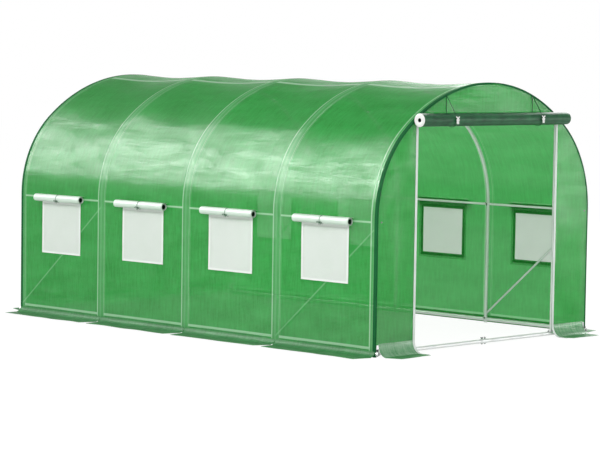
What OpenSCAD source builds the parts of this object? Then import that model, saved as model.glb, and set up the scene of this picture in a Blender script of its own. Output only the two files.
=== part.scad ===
// Walk-in polytunnel greenhouse: steel hoops under a fitted cover, with an open door end.
// Length runs along Y with the door end at -Y, width along X, and the ground is Z = 0.
// The origin is on the ground at the middle of the tunnel.

/* [Tunnel] */
// Distance from one hoop to the next
bay_l = 1000; // [800:10:1300]
// Width over the outsides of the legs
frame_w = 2500; // [2000:10:3000]
// Height over the top of the hoops
frame_h = 2000; // [1600:10:2400]
// Height of the straight legs, where the arches begin
wall_h = 1000; // [800:10:1200]
// Angle from the ridge to where an arch turns into its tighter shoulder
crown_angle = 41; // [35:1:50]

/* [Tubes] */
// Diameter of hoops, legs and base rails
tube_d = 30; // [22:1:38]
// Diameter of side rails, ridge rails and door posts
rail_d = 20; // [16:1:25]
// Diameter of the diagonal braces
brace_d = 18; // [14:1:22]
// Height of the base rails' centre line above the ground
base_rail_z = 28; // [22:1:40]
// Wall of coupling sleeves
sleeve_wall = 3; // [2:0.5:5]
// Length of coupling sleeves
sleeve_l = 60; // [40:5:100]
// How far the open corner sockets stand out past the end legs
socket_out = 26; // [10:1:40]
// Wall of the open corner sockets
socket_wall = 2; // [1:0.5:4]
// Drop from the top of the legs to the side rails' centre line
side_rail_drop = 15; // [12:1:60]
// Height at which a brace meets its rearward leg
brace_foot_z = 70; // [60:5:150]
// Drop from the side rails to where a brace meets its forward leg
brace_head_drop = 45; // [30:5:120]

/* [Cover] */
// Thickness of the cover as a solid
cover_t = 3; // [2:0.5:5]
// Width of the ground flaps
skirt_w = 200; // [120:10:300]
// Slit between neighbouring ground flaps
skirt_slit = 12; // [6:1:40]
// How much shorter a ground flap's outer edge is at each end
skirt_taper = 35; // [0:5:80]
// Height at which the end panels turn outwards
flare_h = 90; // [70:5:150]
// How far the end panels' flare runs out along the ground
flare_w = 75; // [40:5:110]
// Distance of the end flaps from the corner legs
flare_inset = 5; // [2:1:60]

/* [Door] */
// Distance between the door posts' centre lines
door_w = 1660; // [900:10:2100]
// Drop from the top of the hoops to the rolled-up door's centre line
door_roll_drop = 275; // [260:5:500]
// Diameter of the rolled-up door
door_roll_d = 100; // [70:5:130]
// How far the rolled-up door runs past each door post's centre line
door_roll_over = 45; // [20:5:120]
// Gap between the rolled-up door and the end panels
door_roll_gap = 8; // [7:1:20]
// Distance of each door tie from the middle
door_tie_x = 510; // [300:10:700]
// Diameter of the door ties
door_tie_d = 5; // [3:0.5:6]
// Width of the door ties' clips
clip_w = 42; // [25:1:60]
// Height of the door ties' clips
clip_h = 62; // [40:1:80]
// Thickness of the door ties' clips
clip_t = 8; // [5:1:12]

/* [Windows] */
// Width of the hole cut for a window
window_w = 430; // [300:5:500]
// Height of the hole cut for a window
window_h = 380; // [250:5:500]
// Drop from the top of the straight wall to the window screens' top edge
screen_drop = 50; // [30:5:150]
// Width that a screen laps over the cover around its hole
screen_lap = 25; // [10:1:40]
// Thickness of a window screen as a solid
screen_t = 2; // [1:0.5:4]
// Diameter of a rolled-up window flap
window_roll_d = 60; // [40:2:80]
// How far a rolled-up window flap runs past each side of its screen
window_roll_over = 45; // [0:5:80]
// Gap between a rolled-up window flap and the wall
window_roll_gap = 4; // [3:0.5:10]
// Thickness of the flap's leaf that is sewn to the wall
flap_leaf_t = 3; // [2:0.5:5]
// Diameter of the window ties
window_tie_d = 3; // [2:0.5:4]

/* [Hidden] */
$fn = 48;

// Clearance between pieces that seat on each other
fit = 0.3;
// Gap between two tube ends inside a sleeve, and between the bent tubes of a hoop
butt_gap = 2;
hairline = 0.3;
// Strips of the roof along each of the arch's four bent tubes
roof_splits = 8;
// Angle between neighbouring points of the cover's outline over the arch
arch_step = 1.5;
// Colours of steel, of the cover, of its darker hems, of screens and of clips
steel = "gainsboro";
film = "mediumseagreen";
hem = "darkgreen";
screen_white = "whitesmoke";

// Bays between the five hoops
bays = 4;
tube_r = tube_d / 2;
rail_r = rail_d / 2;
brace_r = brace_d / 2;
frame_l = bays * bay_l;
front_y = -frame_l / 2;
rear_y = frame_l / 2;
leg_x = frame_w / 2 - tube_r;
side_rail_z = wall_h - side_rail_drop;
brace_head_z = side_rail_z - brace_head_drop;

// Arch centre line: a crown arc between two tighter shoulder arcs, tangent to each other
arch_rise = frame_h - tube_r - wall_h;
arc_step = (leg_x - arch_rise) / (sin(crown_angle) + cos(crown_angle) - 1);
shoulder_r = leg_x - arc_step * sin(crown_angle);
shoulder_x = leg_x - shoulder_r;
crown_r = shoulder_r + arc_step;
crown_z = wall_h + arch_rise - crown_r;
right_turn = 90 - crown_angle;
left_turn = 90 + crown_angle;

// Cover: inner face of the roof and walls from the tubes' centre line, and of the end panels
skin_in = tube_r + fit;
skin_out = skin_in + cover_t;
wall_x = leg_x + skin_in;
wall_out_x = leg_x + skin_out;
end_face_y = frame_l / 2 + skin_in;
end_out_y = frame_l / 2 + skin_out;
flap_x = leg_x - tube_r - flare_inset;

sleeve_r = rail_r + fit + sleeve_wall;
ridge_z = frame_h - tube_d - fit - sleeve_r;

screen_w = window_w + 2 * screen_lap;
screen_h = window_h + 2 * screen_lap;
screen_z = wall_h - screen_drop - screen_h;
window_roll_r = window_roll_d / 2;
window_roll_x = wall_out_x + window_roll_gap + window_roll_r;
window_roll_z = screen_z + screen_h + window_roll_r - fit;
window_roll_l = screen_w + 2 * window_roll_over;

door_roll_r = door_roll_d / 2;
door_roll_l = door_w + 2 * door_roll_over;
door_roll_z = frame_h - door_roll_drop;
door_roll_y = -(end_out_y + door_roll_gap + door_roll_r);
door_panel_x = door_w / 2 - rail_r;
lunette_z = door_roll_z - door_roll_r / 2;

function hoop_y(i) = front_y + i * bay_l;
function bay_y(i) = hoop_y(i) + bay_l / 2;
// Height of the arch at a distance x from the middle, for a line set off from the centre line
function arch_z(x, off) =
    abs(x) < (crown_r + off) * sin(crown_angle)
        ? crown_z + sqrt(pow(crown_r + off, 2) - x * x)
        : wall_h + sqrt(pow(shoulder_r + off, 2) - pow(abs(x) - shoulder_x, 2));

// ---- shapes shared by several sub-parts ----

// Sweep of a flat section about the Y axis, from angle a0 to a1, measured from +X towards +Z
module bend(a0, a1) {
    rotate([90, 0, 0])
        rotate([0, 0, a0])
            rotate_extrude(angle = a1 - a0, start = 0, $fn = 180)
                children();
}

// Point of the arch at an angle from +X towards +Z, on a line set off from the centre line
function arch_point(a, off) =
    a < right_turn
        ? [shoulder_x + (shoulder_r + off) * cos(a), wall_h + (shoulder_r + off) * sin(a)]
        : a > left_turn
            ? [-shoulder_x + (shoulder_r + off) * cos(a), wall_h + (shoulder_r + off) * sin(a)]
            : [(crown_r + off) * cos(a), crown_z + (crown_r + off) * sin(a)];

// Angle by which a bent piece stops short of each neighbour
function joint_trim(bend_r) = hairline / 2 / bend_r * 180 / PI;

// One bent tube of a hoop
module bent_tube(x, z, bend_r, a0, a1, r) {
    trim = joint_trim(bend_r);
    translate([x, 0, z])
        bend(a0 + trim, a1 - trim)
            translate([bend_r, 0])
                circle(r = r, $fn = 32);
}

// The four bent tubes of a hoop, from the right leg's top over the ridge to the left leg's top
module arch_tubes(r) {
    bent_tube(shoulder_x, wall_h, shoulder_r, 0, right_turn, r);
    bent_tube(0, crown_z, crown_r, right_turn, 90, r);
    bent_tube(0, crown_z, crown_r, 90, left_turn, r);
    bent_tube(-shoulder_x, wall_h, shoulder_r, left_turn, 180, r);
}

module arch_at(i) {
    color(steel)
        translate([0, hoop_y(i), 0])
            arch_tubes(tube_r);
}

// Round bar along Y, along X or upright
module bar_y(x, y0, y1, z, r) {
    translate([x, y0, z])
        rotate([-90, 0, 0])
            cylinder(r = r, h = y1 - y0);
}

module bar_x(x0, x1, y, z, r) {
    translate([x0, y, z])
        rotate([0, 90, 0])
            cylinder(r = r, h = x1 - x0);
}

module leg(x, y, r) {
    translate([x, y, 0])
        cylinder(r = r, h = wall_h);
}

// Rails between neighbouring legs, their ends shaped to the legs
module rails_between_legs(side, z, r) {
    difference() {
        for (i = [0 : bays - 1])
            bar_y(side * leg_x, hoop_y(i), hoop_y(i + 1), z, r);
        for (i = [0 : bays])
            leg(side * leg_x, hoop_y(i), tube_r + fit);
    }
}

module legs(side) {
    color(steel)
        for (i = [0 : bays])
            leg(side * leg_x, hoop_y(i), tube_r);
}

module end_base_rail(y) {
    color(steel)
        difference() {
            union() {
                bar_x(-leg_x, -butt_gap / 2, y, base_rail_z, tube_r);
                bar_x(butt_gap / 2, leg_x, y, base_rail_z, tube_r);
            }
            for (side = [-1, 1]) {
                leg(side * leg_x, y, tube_r + fit);
                bar_y(side * leg_x, y - tube_d, y + tube_d, base_rail_z, tube_r + fit);
            }
        }
}

// Diagonal from the foot of the rearward leg to the head of the forward leg of a bay
module brace(side, i) {
    rise = brace_head_z - brace_foot_z;
    difference() {
        translate([side * leg_x, hoop_y(i + 1), brace_foot_z])
            rotate([atan2(bay_l, rise), 0, 0])
                cylinder(r = brace_r, h = norm([bay_l, rise]));
        leg(side * leg_x, hoop_y(i), tube_r + fit);
        leg(side * leg_x, hoop_y(i + 1), tube_r + fit);
    }
}

module braces(side) {
    color(steel)
        for (i = [0, bays - 1])
            brace(side, i);
}

// Outline of the arch between two angles, for a line set off from the centre line
function arch_line(a0, a1, off) =
    let (steps = ceil((a1 - a0) / arch_step))
        [for (k = [0 : steps]) arch_point(a0 + (a1 - a0) * k / steps, off)];
function arch_outline(off) = arch_line(0, 180, off);

// Stands a flat outline up in the XZ plane, from y to y + length
module stand_up(y, length) {
    translate([0, y + length, 0])
        rotate([90, 0, 0])
            linear_extrude(length)
                children();
}

// The part of an end panel between two heights and two distances from the middle
module end_panel(end, x0, x1, z0, z1) {
    color(film)
        stand_up(end < 0 ? -end_out_y : end_face_y, cover_t)
            intersection() {
                polygon(concat(
                    [[leg_x + tube_r, flare_h]],
                    arch_outline(tube_r),
                    [[-leg_x - tube_r, flare_h]]
                ));
                translate([x0, z0])
                    square([x1 - x0, z1 - z0]);
            }
}

module window_hole(side, i) {
    translate([side * (wall_x + cover_t / 2), bay_y(i), screen_z + screen_h / 2])
        cube([2 * cover_t, window_w, window_h], center = true);
}

module wall_cover(side) {
    color(film)
        difference() {
            translate([side > 0 ? wall_x : -wall_out_x, -end_out_y, cover_t])
                cube([cover_t, 2 * end_out_y, wall_h - cover_t]);
            for (i = [0 : bays - 1])
                window_hole(side, i);
        }
}

// Ground flap of one bay, flat on the ground, its outer edge shorter at both ends
module side_skirt(side, i) {
    y0 = i == 0 ? -end_out_y : hoop_y(i) + skirt_slit / 2;
    y1 = i == bays - 1 ? end_out_y : hoop_y(i + 1) - skirt_slit / 2;
    mirror([side > 0 ? 0 : 1, 0, 0])
        linear_extrude(cover_t)
            polygon([
                [wall_x, y0],
                [wall_x, y1],
                [wall_x + skirt_w, y1 - skirt_taper],
                [wall_x + skirt_w, y0 + skirt_taper]
            ]);
}

module side_skirts(side) {
    color(film)
        for (i = [0 : bays - 1])
            side_skirt(side, i);
}

// Foot of an end panel: it slopes out over the base rail and lies on the ground
module end_skirt(x0, x1) {
    intersection() {
        translate([x0, -end_face_y, 0])
            rotate([0, 0, -90])
                rotate([90, 0, 0])
                    translate([0, 0, -(x1 - x0)])
                        linear_extrude(x1 - x0)
                            polygon([
                                [0, flare_h],
                                [cover_t, flare_h],
                                [flare_w + cover_t, cover_t],
                                [skirt_w, cover_t],
                                [skirt_w, 0],
                                [flare_w, 0]
                            ]);
        linear_extrude(flare_h)
            polygon([
                [x0, -end_face_y],
                [x1, -end_face_y],
                [x1, -end_face_y - flare_w],
                [x1 - skirt_taper, -end_face_y - skirt_w],
                [x0 + skirt_taper, -end_face_y - skirt_w],
                [x0, -end_face_y - flare_w]
            ]);
    }
}

module window_screens(side) {
    color(screen_white)
        for (i = [0 : bays - 1])
            translate([
                side * (wall_out_x + fit + screen_t / 2),
                bay_y(i),
                screen_z + screen_h / 2
            ])
                cube([screen_t, screen_w, screen_h], center = true);
}

// Rolled-up flap with the leaf that joins its top to the wall
module window_roll(side, i) {
    y0 = bay_y(i) - window_roll_l / 2;
    y1 = bay_y(i) + window_roll_l / 2;
    leaf_x = side > 0 ? wall_out_x + fit : -window_roll_x;
    bar_y(side * window_roll_x, y0, y1, window_roll_z, window_roll_r);
    translate([leaf_x, y0, window_roll_z + window_roll_r - flap_leaf_t])
        cube([window_roll_x - wall_out_x - fit, window_roll_l, flap_leaf_t]);
}

module window_rolls(side) {
    color(screen_white)
        for (i = [0 : bays - 1])
            window_roll(side, i);
}

// Tie that passes over the roll's front and under it, back to the wall
module window_ties(side) {
    tie_ring_r = window_roll_r + fit + window_tie_d / 2;
    color(hem)
        for (i = [0 : bays - 1])
            mirror([side > 0 ? 1 : 0, 0, 0])
                translate([-window_roll_x, bay_y(i), window_roll_z])
                    bend(80, 345)
                        translate([tie_ring_r, 0])
                            circle(d = window_tie_d, $fn = 16);
}

// ---- sub-parts ----

module left_legs() { legs(-1); }
module right_legs() { legs(1); }

// Open ends of the corner fittings, standing out past the end legs
module corner_sockets() {
    mouth_y = front_y - tube_r - socket_out;
    color(steel)
        for (side = [-1, 1])
            for (end = [-1, 1])
                mirror([0, end > 0 ? 1 : 0, 0])
                    difference() {
                        bar_y(side * leg_x, mouth_y, front_y - tube_r - fit, base_rail_z, tube_r);
                        bar_y(side * leg_x, mouth_y - fit, front_y, base_rail_z, tube_r - socket_wall);
                    }
}

module left_base_rails() { color(steel) rails_between_legs(-1, base_rail_z, tube_r); }
module right_base_rails() { color(steel) rails_between_legs(1, base_rail_z, tube_r); }
module front_base_rail() { end_base_rail(front_y); }
module rear_base_rail() { end_base_rail(rear_y); }

// Sleeves over the joint in the middle of each end's base rail
module base_couplers() {
    color(steel)
        for (y = [front_y, rear_y])
            difference() {
                bar_x(-sleeve_l / 2, sleeve_l / 2, y, base_rail_z, tube_r + fit + sleeve_wall);
                bar_x(-sleeve_l, sleeve_l, y, base_rail_z, tube_r + fit);
            }
}

module left_side_rails() { color(steel) rails_between_legs(-1, side_rail_z, rail_r); }
module right_side_rails() { color(steel) rails_between_legs(1, side_rail_z, rail_r); }

// Ridge rails hang under the hoops, end to end inside their sleeves
module ridge_rails() {
    color(steel)
        for (i = [0 : bays - 1])
            bar_y(
                0,
                i == 0 ? front_y - tube_r : hoop_y(i) + butt_gap / 2,
                i == bays - 1 ? rear_y + tube_r : hoop_y(i + 1) - butt_gap / 2,
                ridge_z,
                rail_r
            );
}

module ridge_couplers() {
    end_in = sleeve_l / 2 - tube_r;
    color(steel)
        for (i = [0 : bays])
            translate([0, hoop_y(i) + (i == 0 ? end_in : i == bays ? -end_in : 0), 0])
                difference() {
                    bar_y(0, -sleeve_l / 2, sleeve_l / 2, ridge_z, sleeve_r);
                    bar_y(0, -sleeve_l, sleeve_l, ridge_z, rail_r + fit);
                }
}

module left_braces() { braces(-1); }
module right_braces() { braces(1); }

// Posts from the front base rail up to the underside of the front arch
module door_posts() {
    color(steel)
        for (side = [-1, 1])
            difference() {
                intersection() {
                    translate([side * door_w / 2, front_y, base_rail_z])
                        cylinder(r = rail_r, h = frame_h);
                    stand_up(front_y - tube_r, tube_d)
                        polygon(concat([[leg_x, 0]], arch_outline(-tube_r - fit), [[-leg_x, 0]]));
                }
                bar_x(-leg_x, leg_x, front_y, base_rail_z, tube_r + fit);
            }
}

// Strip of the roof between two angles, stopping short of its neighbours like the hoops' tubes
module roof_strip(a0, a1) {
    trim = joint_trim(crown_r);
    inner = arch_line(a0 + trim, a1 - trim, skin_in);
    outer = arch_line(a0 + trim, a1 - trim, skin_out);
    last = len(inner) - 1;
    stand_up(-end_out_y, 2 * end_out_y)
        polygon(concat(outer, [for (i = [last : -1 : 0]) inner[i]]));
}

// The strips between two turns of the arch
module roof_strips(a0, a1) {
    for (i = [0 : roof_splits - 1])
        roof_strip(a0 + (a1 - a0) * i / roof_splits, a0 + (a1 - a0) * (i + 1) / roof_splits);
}

module roof_cover() {
    color(film) {
        roof_strips(0, right_turn);
        roof_strips(right_turn, 90);
        roof_strips(90, left_turn);
        roof_strips(left_turn, 180);
    }
}

module left_wall_cover() { wall_cover(-1); }
module right_wall_cover() { wall_cover(1); }
module front_left_panel() { end_panel(-1, -frame_w, -door_panel_x, flare_h, lunette_z); }
module front_right_panel() { end_panel(-1, door_panel_x, frame_w, flare_h, lunette_z); }
module front_lunette() { end_panel(-1, -frame_w, frame_w, lunette_z, frame_h); }
module rear_panel() { end_panel(1, -frame_w, frame_w, flare_h, frame_h); }

module left_skirts() { side_skirts(-1); }
module right_skirts() { side_skirts(1); }

module front_skirts() {
    color(film) {
        end_skirt(-flap_x, -door_panel_x);
        end_skirt(door_panel_x, flap_x);
    }
}

module rear_skirt() {
    color(film)
        mirror([0, 1, 0])
            end_skirt(-flap_x, flap_x);
}

module left_window_screens() { window_screens(-1); }
module right_window_screens() { window_screens(1); }
module left_window_rolls() { window_rolls(-1); }
module right_window_rolls() { window_rolls(1); }
module left_window_ties() { window_ties(-1); }
module right_window_ties() { window_ties(1); }

module door_roll() {
    color(hem)
        bar_x(-door_roll_l / 2, door_roll_l / 2, door_roll_y, door_roll_z, door_roll_r);
}

// Straight strand of a door tie, from where it leaves the roll at angle a to the loop's top, where it is
// cut along the loop's middle line, a hairline short of the other strand
module tie_strand(a, ring_r, reach, open_angle, upwards) {
    strand_l = reach * sin(open_angle);
    rotate([0, -a, 0])
        mirror([0, 0, upwards ? 0 : 1])
            difference() {
                translate([ring_r, 0, hairline / 2])
                    cylinder(d = door_tie_d, h = strand_l - hairline / 2, $fn = 16);
                rotate([0, -open_angle, 0])
                    translate([0, -door_tie_d, -hairline / 2])
                        cube([reach + door_tie_d, 2 * door_tie_d, 2 * door_tie_d]);
            }
}

// Bent stretch of a door tie round the roll, stopping a hairline short in the middle of the loop
module tie_turn(a0, a1, ring_r) {
    trim = joint_trim(ring_r);
    bend(a0 + trim, a1 - trim)
        translate([ring_r, 0])
            circle(d = door_tie_d, $fn = 16);
}

// Each tie is a loop: down the front of the roll from the cover's edge, under it and up behind
module door_roll_ties() {
    tie_r = door_tie_d / 2;
    ring_r = door_roll_r + fit + tie_r;
    hang_y = -(end_out_y + fit + tie_r);
    hang_z = arch_z(door_tie_x, skin_in) - tie_r;
    reach = norm([hang_y - door_roll_y, hang_z - door_roll_z]);
    up_angle = atan2(hang_z - door_roll_z, hang_y - door_roll_y);
    open_angle = acos(ring_r / reach);
    color(hem)
        for (side = [-1, 1])
            translate([side * door_tie_x, door_roll_y, door_roll_z])
                rotate([0, 0, 90]) {
                    tie_turn(up_angle + open_angle, up_angle + 180, ring_r);
                    tie_turn(up_angle + 180, up_angle + 360 - open_angle, ring_r);
                    tie_strand(up_angle + open_angle, ring_r, reach, open_angle, false);
                    tie_strand(up_angle - open_angle, ring_r, reach, open_angle, true);
                }
}

// Clip on the front of each tie
module door_roll_clips() {
    ring_out = door_roll_r + fit + door_tie_d + fit;
    color(screen_white)
        for (side = [-1, 1])
            translate([side * door_tie_x, door_roll_y - ring_out - clip_t / 2, door_roll_z])
                cube([clip_w, clip_t, clip_h], center = true);
}

arch_at(0);  // front_arch
arch_at(1);  // arch_2
arch_at(2);  // arch_3
arch_at(3);  // arch_4
arch_at(bays);  // rear_arch
left_legs();
right_legs();
corner_sockets();
left_base_rails();
right_base_rails();
front_base_rail();
rear_base_rail();
base_couplers();
left_side_rails();
right_side_rails();
ridge_rails();
ridge_couplers();
left_braces();
right_braces();
door_posts();
roof_cover();
left_wall_cover();
right_wall_cover();
front_left_panel();
front_right_panel();
front_lunette();
rear_panel();
left_skirts();
right_skirts();
front_skirts();
rear_skirt();
left_window_screens();
right_window_screens();
left_window_rolls();
right_window_rolls();
left_window_ties();
right_window_ties();
door_roll();
door_roll_ties();
door_roll_clips();
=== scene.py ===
"""Looks of a walk-in polytunnel greenhouse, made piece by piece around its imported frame.

Metres, +Z up, length along Y with the door end at -Y. The steel tubes and cords are the frame's own
nodes with a finish; the cover, panels, flaps, screens and rolls are sheets that replace its plain solids.
"""
import math
import bpy
from mathutils import Matrix, Vector, noise


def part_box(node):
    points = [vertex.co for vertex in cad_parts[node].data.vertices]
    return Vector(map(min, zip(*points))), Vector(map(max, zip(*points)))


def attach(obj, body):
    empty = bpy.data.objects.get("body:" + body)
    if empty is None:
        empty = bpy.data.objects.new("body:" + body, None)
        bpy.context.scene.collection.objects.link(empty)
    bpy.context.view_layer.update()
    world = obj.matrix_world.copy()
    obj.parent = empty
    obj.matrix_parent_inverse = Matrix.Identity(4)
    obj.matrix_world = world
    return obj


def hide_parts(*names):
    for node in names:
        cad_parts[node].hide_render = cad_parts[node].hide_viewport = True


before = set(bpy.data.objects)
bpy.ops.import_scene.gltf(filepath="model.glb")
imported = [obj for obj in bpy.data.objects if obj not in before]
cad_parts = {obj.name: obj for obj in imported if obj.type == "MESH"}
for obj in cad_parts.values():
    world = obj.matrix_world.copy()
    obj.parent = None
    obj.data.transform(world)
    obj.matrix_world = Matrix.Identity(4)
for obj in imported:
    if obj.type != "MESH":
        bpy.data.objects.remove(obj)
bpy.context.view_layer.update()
bpy.ops.object.select_all(action="DESELECT")

# ---- Camera ----
# A long lens at head height, off the near front corner, so that one side and the open end both show.

lens_mm = 143.5
sensor_mm = 36
camera_place = Vector((-14.069, -13.615, 2.165))
camera_heading = 0.803  # from +Y towards +X, in radians
camera_tilt = -0.0696
camera_roll = 0.0148

ahead = Vector((
    math.sin(camera_heading) * math.cos(camera_tilt),
    math.cos(camera_heading) * math.cos(camera_tilt),
    math.sin(camera_tilt),
))
level_right = Vector((math.cos(camera_heading), -math.sin(camera_heading), 0))
level_up = level_right.cross(ahead)
right = level_right * math.cos(camera_roll) + level_up * math.sin(camera_roll)
up = level_up * math.cos(camera_roll) - level_right * math.sin(camera_roll)

bpy.ops.object.camera_add()
camera = bpy.context.object
camera.name = "camera"
camera.data.lens = lens_mm
camera.data.sensor_width = sensor_mm
camera.data.clip_end = 200
turn = Matrix((right, up, -ahead)).transposed().to_4x4()
camera.matrix_world = Matrix.Translation(camera_place) @ turn
bpy.context.scene.camera = camera

# ---- Studio ----
# A white floor that keeps the shadow and an even white surround, both drawn darker through the film.
# Three strips behind the near side show only in the gloss of the cover's shoulder, a card shows in that
# of the front panels, and broad soft boxes light both ends.

scene = bpy.context.scene
scene.view_settings.view_transform = "Standard"
scene.cycles.transparent_max_bounces = 32
scene.cycles.transmission_bounces = 8

surround_light = 0.62
ceiling_light = 0.25
behind_film = 0.38
floor_glow = 0.93
floor_seen = 0.20  # through the film
floor_shadow = 0.14
floor_colour = (0.8, 0.8, 0.8, 1)


def add_node(tree, kind, **settings):
    """A new shader node. Settings that aren't the node's own properties are its sockets' values."""
    made = tree.nodes.new("ShaderNode" + kind)
    for name, value in settings.items():
        if hasattr(made, name):
            setattr(made, name, value)
        else:
            made.inputs[name.replace("_", " ")].default_value = value
    return made


def maths(tree, operation, first, second=None, third=None):
    """The output of a Math node; each argument is a number or another node's output."""
    made = add_node(tree, "Math", operation=operation)
    for place, value in enumerate((first, second, third)):
        if isinstance(value, bpy.types.NodeSocket):
            tree.links.new(value, made.inputs[place])
        elif value is not None:
            made.inputs[place].default_value = value
    return made.outputs[0]


def new_material(name):
    """An empty node material, its tree and its output node."""
    made = bpy.data.materials.new(name)
    made.use_nodes = True
    made.node_tree.nodes.clear()
    return made, made.node_tree, add_node(made.node_tree, "OutputMaterial")


def seen_through_film(tree):
    """1 for rays that have passed through film or mesh on their way."""
    path = add_node(tree, "LightPath")
    return maths(tree, "GREATER_THAN", path.outputs["Transparent Depth"], 0.5)


def seen_directly(tree):
    """1 for rays from the camera and for those that gloss and glass send out."""
    path = add_node(tree, "LightPath")
    direct = maths(tree, "MAXIMUM", path.outputs["Is Camera Ray"], path.outputs["Is Glossy Ray"])
    return maths(tree, "MAXIMUM", direct, path.outputs["Is Transmission Ray"])


bpy.ops.mesh.primitive_plane_add(size=90, location=(0, 0, -0.001))
floor = bpy.context.object
floor.name = "floor"
floor_paint, tree, out = new_material("floor_paint")
lit = add_node(tree, "BsdfDiffuse", Color=floor_colour)
glow = add_node(tree, "Emission", Color=(1, 1, 1, 1), Strength=floor_glow)
shadow_part = add_node(tree, "MixShader", Fac=floor_shadow)
nothing = add_node(tree, "BsdfDiffuse", Color=(0, 0, 0, 1))
tree.links.new(nothing.outputs[0], shadow_part.inputs[1])
tree.links.new(lit.outputs[0], shadow_part.inputs[2])
bright = add_node(tree, "AddShader")
tree.links.new(shadow_part.outputs[0], bright.inputs[0])
tree.links.new(glow.outputs[0], bright.inputs[1])
floor_level = maths(tree, "MULTIPLY_ADD", seen_through_film(tree), floor_seen - floor_glow, floor_glow)
tree.links.new(floor_level, glow.inputs["Strength"])
choice = add_node(tree, "MixShader")
tree.links.new(seen_directly(tree), choice.inputs["Fac"])
tree.links.new(lit.outputs[0], choice.inputs[1])
tree.links.new(bright.outputs[0], choice.inputs[2])
tree.links.new(choice.outputs[0], out.inputs["Surface"])
floor.data.materials.append(floor_paint)

world = bpy.data.worlds.new("surround")
scene.world = world
world.use_nodes = True
tree = world.node_tree
tree.nodes.clear()
soft = add_node(tree, "Background", Color=(1, 1, 1, 1), Strength=surround_light)
white = add_node(tree, "Background", Color=(1, 1, 1, 1))
heading = add_node(tree, "SeparateXYZ")
tree.links.new(add_node(tree, "TexCoord").outputs["Generated"], heading.inputs[0])
ceiling = add_node(tree, "MapRange")
for name, value in (
    ("From Min", 0.10), ("From Max", 0.45), ("To Min", 1.0), ("To Max", ceiling_light)
):
    ceiling.inputs[name].default_value = value
tree.links.new(heading.outputs["Z"], ceiling.inputs["Value"])
share_left = maths(tree, "MULTIPLY_ADD", seen_through_film(tree), behind_film - 1, 1.0)
tree.links.new(maths(tree, "MULTIPLY", ceiling.outputs[0], share_left), white.inputs["Strength"])
choice = add_node(tree, "MixShader")
out = add_node(tree, "OutputWorld")
tree.links.new(seen_directly(tree), choice.inputs["Fac"])
tree.links.new(soft.outputs[0], choice.inputs[1])
tree.links.new(white.outputs[0], choice.inputs[2])
tree.links.new(choice.outputs[0], out.inputs["Surface"])


def soft_box(name, place, aim, width, height, power, gloss_only=False):
    """A rectangular lamp at a place, turned to face its aim. A gloss-only one shows just in reflections."""
    bpy.ops.object.light_add(type="AREA")
    lamp = bpy.context.object
    lamp.name = name
    lamp.data.shape = "RECTANGLE"
    lamp.data.size = width
    lamp.data.size_y = height
    lamp.data.energy = power
    lamp.visible_diffuse = not gloss_only
    facing = (Vector(aim) - Vector(place)).to_track_quat("-Z", "Y")
    lamp.matrix_world = Matrix.Translation(place) @ facing.to_matrix().to_4x4()
    return lamp


shoulder_aim = (-1.2, 0.0, 1.3)
soft_box("strip_box", (-10.0, 8.7, 5.8), shoulder_aim, 8.0, 3.7, 1250, gloss_only=True)
soft_box("middle_box", (-7.3, 9.2, 8.3), shoulder_aim, 8.0, 3.2, 1150, gloss_only=True)
soft_box("upper_box", (-4.2, 9.5, 10.9), shoulder_aim, 8.0, 3.2, 680, gloss_only=True)
soft_box("front_card", (8.7, -8.4, 1.0), (0.6, -2.0, 1.1), 2.6, 2.1, 150, gloss_only=True)
soft_box("front_box", (4.0, -12.0, 6.0), (0, -2, 1), 6.0, 5.0, 480)
soft_box("near_box", (-11.0, -2.0, 8.0), (-1, 0, 1), 7.0, 4.0, 840)
soft_box("far_box", (10.0, 3.0, 6.5), (1, 0, 1), 8.0, 5.0, 860)

# ---- Steel tubes ----
# Hoops, legs, rails, braces and posts are galvanised tube with a light grey powder coat. The coat is
# even, with a faint orange peel; its colour is darkened where a tube curves out of sight, as painted shade.

tube_nodes = [
    "front_arch", "arch_2", "arch_3", "arch_4", "rear_arch", "left_legs", "right_legs",
    "corner_sockets", "left_base_rails", "right_base_rails", "front_base_rail", "rear_base_rail",
    "base_couplers", "left_side_rails", "right_side_rails", "ridge_rails", "ridge_couplers",
    "left_braces", "right_braces", "door_posts",
]


def mottling_group():
    """Slow patches and fine grain on Object coordinates: a value about 0.5 and a height."""
    group = bpy.data.node_groups.new("mottling", "ShaderNodeTree")
    group.interface.new_socket("Patch Scale", in_out="INPUT", socket_type="NodeSocketFloat")
    group.interface.new_socket("Grain Scale", in_out="INPUT", socket_type="NodeSocketFloat")
    group.interface.new_socket("Patches", in_out="OUTPUT", socket_type="NodeSocketFloat")
    group.interface.new_socket("Grain", in_out="OUTPUT", socket_type="NodeSocketFloat")
    given = group.nodes.new("NodeGroupInput")
    result = group.nodes.new("NodeGroupOutput")
    place = add_node(group, "TexCoord")
    for scale, name, detail in (("Patch Scale", "Patches", 3.0), ("Grain Scale", "Grain", 2.0)):
        cloud = add_node(group, "TexNoise", Detail=detail, Roughness=0.55)
        group.links.new(place.outputs["Object"], cloud.inputs["Vector"])
        group.links.new(given.outputs[scale], cloud.inputs["Scale"])
        group.links.new(cloud.outputs["Fac"], result.inputs[name])
    return group


mottling = mottling_group()


def add_mottling(tree, patch_scale, grain_scale):
    """The mottling group placed in a material with its own two scales."""
    made = tree.nodes.new("ShaderNodeGroup")
    made.node_tree = mottling
    made.inputs["Patch Scale"].default_value = patch_scale
    made.inputs["Grain Scale"].default_value = grain_scale
    return made


def blend_colours(tree, share, first, second):
    """The output of a colour mix; share is an output or a number, colours are values or outputs."""
    made = add_node(tree, "Mix", data_type="RGBA")
    for socket, value in ((made.inputs[0], share), (made.inputs[6], first), (made.inputs[7], second)):
        if isinstance(value, bpy.types.NodeSocket):
            tree.links.new(value, socket)
        else:
            socket.default_value = value
    return made.outputs[2]


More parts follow.
